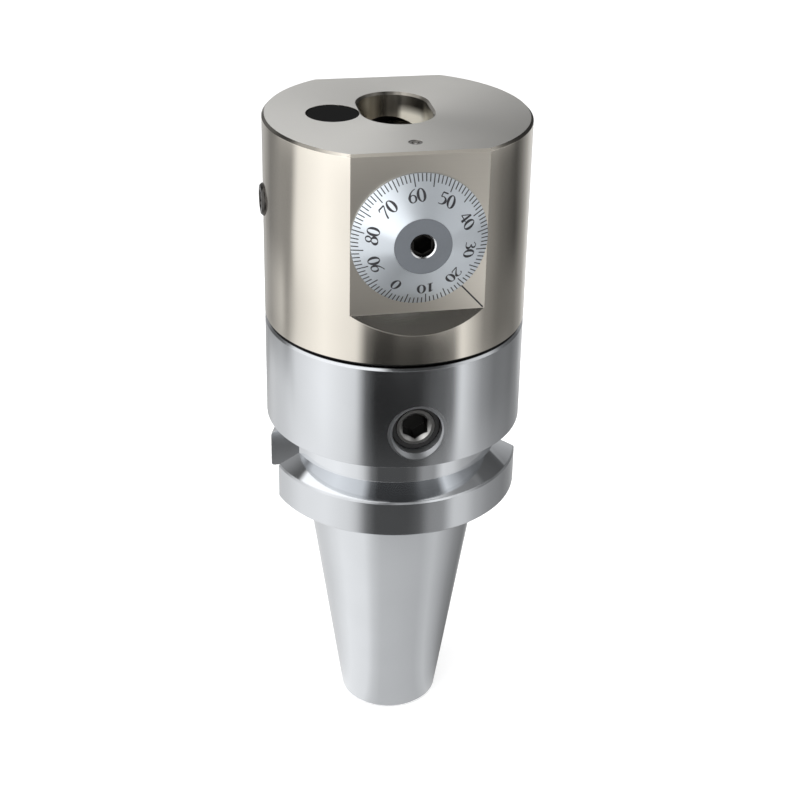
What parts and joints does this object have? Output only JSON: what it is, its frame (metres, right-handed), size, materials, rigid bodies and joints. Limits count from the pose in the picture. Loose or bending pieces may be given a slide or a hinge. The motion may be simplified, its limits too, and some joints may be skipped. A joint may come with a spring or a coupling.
{
  "type": "boring head",
  "caption": "Fine boring head with a side dial, cross-sliding bar carrier and a modular coupling to a 7/24 taper shank.",
  "frame": {"origin": "centre of the taper's gauge plane", "axes": "+Z from the shank to the head's face, -Y towards the dial, +X to the right seen from the dial"},
  "size_m": [0.0647, 0.0647, 0.1654],
  "materials": {
    "shank_steel": "ground, blue-grey",
    "head_steel": "satin nickel, warm grey",
    "dark_steel": "black oxide",
    "screw_steel": "dark heat-treated steel",
    "dial_silver": "satin silver",
    "hub_grey": "satin grey",
    "plug_black": "black",
    "bright_steel": "ground bright",
    "bronze": "turned bronze",
    "brass": "brass",
    "seal_rubber": "black rubber"
  },
  "bodies": {
    "housing": {"taper_shank": "shank_steel", "cone_seat": "screw_steel", "drive_pin": "bright_steel", "head_body": "head_steel", "front_thrust_washer": "bronze", "rear_thrust_washer": "bronze", "retainer_ring": "dark_steel", "journal_seal": "seal_rubber", "guide_screw": "screw_steel", "bore_plug": "plug_black", "back_cover": "dark_steel", "cover_seal": "seal_rubber", "oiler_cup": "bright_steel", "oiler_spring": "bright_steel"},
    "carrier": {"tool_carrier": "dark_steel", "lead_nut": "bronze"},
    "dial": {"lead_screw": "bright_steel", "dial_ring": "dial_silver", "dial_hub": "hub_grey"},
    "shoe": {"clamp_shoe": "bright_steel"},
    "lock": {"lock_screw": "screw_steel"},
    "pad": {"bar_pad": "brass"},
    "bar_clamp": {"bar_screw": "screw_steel"},
    "coupling_ring": {"coupling_seal": "seal_rubber"},
    "coupling": {"coupling_screw": "screw_steel"},
    "pin": {"coupling_pin": "screw_steel"},
    "ball": {"oiler_ball": "bright_steel"}
  },
  "joints": [
    {"name": "dial_turn", "type": "hinge", "parent": "housing", "child": "dial", "pos_m": [0, -0.03, 0.0794], "axis": [0, 1, 0], "range_deg": [-69.2, 4251]},
    {"name": "carrier_slide", "type": "slide", "parent": "housing", "child": "carrier", "axis": [0, 1, 0], "range_m": [-0.0001, 0.0059]},
    {"name": "lock_screw_turn", "type": "hinge", "parent": "shoe", "child": "lock", "pos_m": [-0.03, 0.001, 0.0794], "axis": [1, 0, 0], "range_deg": [0, 57.7]},
    {"name": "shoe_slide", "type": "slide", "parent": "housing", "child": "shoe", "axis": [1, 0, 0], "range_m": [0, 0.0002]},
    {"name": "bar_screw_turn", "type": "hinge", "parent": "pad", "child": "bar_clamp", "pos_m": [0, 0.014, 0.0794], "axis": [0, 1, 0], "range_deg": [0, 720.2]},
    {"name": "pad_slide", "type": "slide", "parent": "carrier", "child": "pad", "axis": [0, 1, 0], "range_m": [0, 0.0025]},
    {"name": "coupling_screw_turn", "type": "hinge", "parent": "coupling_ring", "child": "coupling", "pos_m": [0, -0.025, 0.0311], "axis": [0, -1, 0], "range_deg": [0, 1440.4]},
    {"name": "coupling_screw_slide", "type": "slide", "parent": "housing", "child": "coupling_ring", "axis": [0, -1, 0], "range_m": [0, 0.007]},
    {"name": "pin_slide", "type": "slide", "parent": "housing", "child": "pin", "axis": [0, -1, 0], "range_m": [0, 0.0035]},
    {"name": "oiler_ball_press", "type": "slide", "parent": "housing", "child": "ball", "axis": [0, 0, -1], "range_m": [0, 0.0005], "stiffness_N_per_m": 400, "springref_m": -0.001, "deforming": ["oiler_spring"]}
  ],
  "couplings": [
    {"joint": "dial_turn", "follows": "carrier_slide", "rad_per_m": 12566},
    {"joint": "lock_screw_turn", "follows": "shoe_slide", "rad_per_m": 5026.5},
    {"joint": "bar_screw_turn", "follows": "pad_slide", "rad_per_m": 5026.5},
    {"joint": "coupling_screw_turn", "follows": "coupling_screw_slide", "rad_per_m": 3590.4},
    {"joint": "pin_slide", "follows": "coupling_screw_slide", "ratio": 0.5}
  ]
}
